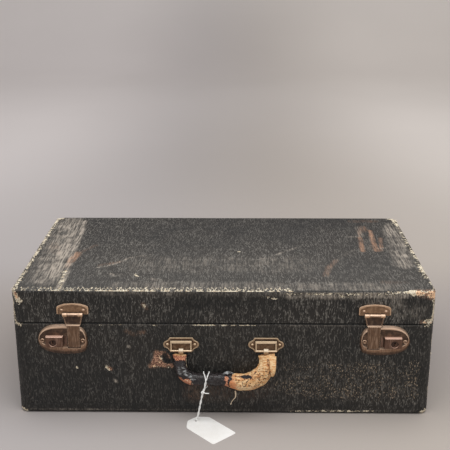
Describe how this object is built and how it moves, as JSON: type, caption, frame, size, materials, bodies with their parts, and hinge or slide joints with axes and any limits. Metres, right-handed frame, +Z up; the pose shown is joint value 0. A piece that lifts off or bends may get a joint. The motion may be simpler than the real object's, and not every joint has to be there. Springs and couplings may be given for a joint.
{
  "type": "suitcase",
  "caption": "Worn leatherette suitcase with a hinged lid, sliding-bolt latches with swinging hasps, and a folding leather handle with a blank tag.",
  "frame": {"origin": "middle of the underside of the closed case", "axes": "+X along the case's length, to the right of someone who faces the latches; +Z up, through the lid; the front with the handle faces -Y"},
  "size_m": [0.615, 0.4362, 0.1997],
  "materials": {
    "leatherette": "black grained leatherette over board, worn to pale fibre at the edges",
    "lining": "plain aged lining cloth",
    "lip_board": "covered board lip",
    "dull_steel": "dull aged steel",
    "bronze": "tarnished bronze-coloured plating with bright worn edges",
    "bare_leather": "rough tan leather with the finish worn away",
    "black_leather": "black leather, cracked and worn",
    "card": "blank white card",
    "thread": "white thread"
  },
  "bodies": {
    "base": {"base_shell": "leatherette", "base_lining": "lining", "base_lip": "lip_board", "hinge_base_leaf_left": "dull_steel", "hinge_base_leaf_right": "dull_steel", "hinge_pin_left": "dull_steel", "hinge_pin_right": "dull_steel", "stay_base_stud_left": "dull_steel", "stay_base_stud_right": "dull_steel", "lock_plate_left": "bronze", "lock_plate_right": "bronze", "lock_rivet_outer_left": "bronze", "lock_rivet_outer_right": "bronze", "lock_rivet_inner_left": "bronze", "lock_rivet_inner_right": "bronze", "handle_bracket_left": "bronze", "handle_bracket_right": "bronze", "bracket_rivet_inner_left": "bronze", "bracket_rivet_inner_right": "bronze", "bracket_rivet_outer_left": "bronze", "bracket_rivet_outer_right": "bronze"},
    "lid": {"lid_shell": "leatherette", "lid_lining": "lining", "hinge_lid_leaf_left": "dull_steel", "hinge_lid_leaf_right": "dull_steel", "stay_lid_stud_left": "dull_steel", "stay_lid_stud_right": "dull_steel", "hasp_plate_left": "bronze", "hasp_plate_right": "bronze", "hasp_pin_left": "bronze", "hasp_pin_right": "bronze", "hasp_rivet_inner_left": "bronze", "hasp_rivet_inner_right": "bronze", "hasp_rivet_outer_left": "bronze", "hasp_rivet_outer_right": "bronze"},
    "hasp_left": {"hasp_left": "bronze"},
    "hasp_right": {"hasp_right": "bronze"},
    "slider_left": {"slider_left": "bronze"},
    "slider_right": {"slider_right": "bronze"},
    "key_left": {"key_barrel_left": "bronze"},
    "key_right": {"key_barrel_right": "bronze"},
    "handle": {"handle_core": "bare_leather", "handle_cover": "black_leather", "handle_hook_left": "dull_steel", "handle_hook_right": "dull_steel"},
    "tag": {"tag": "card", "tag_string": "thread"},
    "stay_left": {"stay_bar_left": "dull_steel"},
    "stay_right": {"stay_bar_right": "dull_steel"}
  },
  "joints": [
    {"name": "lid_hinge", "type": "hinge", "parent": "base", "child": "lid", "pos_m": [0, 0.1755, 0.1476], "axis": [-1, 0, 0], "range_deg": [0, 105]},
    {"name": "hasp_left_swing", "type": "hinge", "parent": "lid", "child": "hasp_left", "pos_m": [-0.2183, -0.1758, 0.1625], "axis": [-1, 0, 0], "range_deg": [0, 160]},
    {"name": "hasp_right_swing", "type": "hinge", "parent": "lid", "child": "hasp_right", "pos_m": [0.2194, -0.1758, 0.1625], "axis": [-1, 0, 0], "range_deg": [0, 160]},
    {"name": "slider_left_slide", "type": "slide", "parent": "base", "child": "slider_left", "axis": [1, 0, 0], "range_m": [0, 0.005], "stiffness_N_per_m": 300},
    {"name": "slider_right_slide", "type": "slide", "parent": "base", "child": "slider_right", "axis": [-1, 0, 0], "range_m": [0, 0.005], "stiffness_N_per_m": 300},
    {"name": "key_left_turn", "type": "hinge", "parent": "slider_left", "child": "key_left", "pos_m": [-0.2488, -0.1806, 0.11995], "axis": [0, 1, 0], "range_deg": [0, 90]},
    {"name": "key_right_turn", "type": "hinge", "parent": "slider_right", "child": "key_right", "pos_m": [0.2499, -0.1806, 0.11995], "axis": [0, 1, 0], "range_deg": [0, 90]},
    {"name": "handle_swing", "type": "hinge", "parent": "base", "child": "handle", "pos_m": [0.0007, -0.1785, 0.1066], "axis": [-1, 0, 0], "range_deg": [0, 140]},
    {"name": "tag_swing", "type": "hinge", "parent": "handle", "child": "tag", "pos_m": [0.0007, -0.1829, 0.0632], "axis": [-1, 0, 0], "range_deg": [-140, 0]},
    {"name": "stay_left_turn", "type": "hinge", "parent": "lid", "child": "stay_left", "pos_m": [-0.296, 0.106, 0.16493], "axis": [-1, 0, 0], "range_deg": [-52.5, 0]},
    {"name": "stay_right_turn", "type": "hinge", "parent": "lid", "child": "stay_right", "pos_m": [0.296, 0.106, 0.16493], "axis": [-1, 0, 0], "range_deg": [-52.5, 0]}
  ],
  "couplings": [
    {"joint": "tag_swing", "follows": "handle_swing", "ratio": -1},
    {"joint": "stay_left_turn", "follows": "lid_hinge", "ratio": -0.5},
    {"joint": "stay_right_turn", "follows": "lid_hinge", "ratio": -0.5}
  ]
}
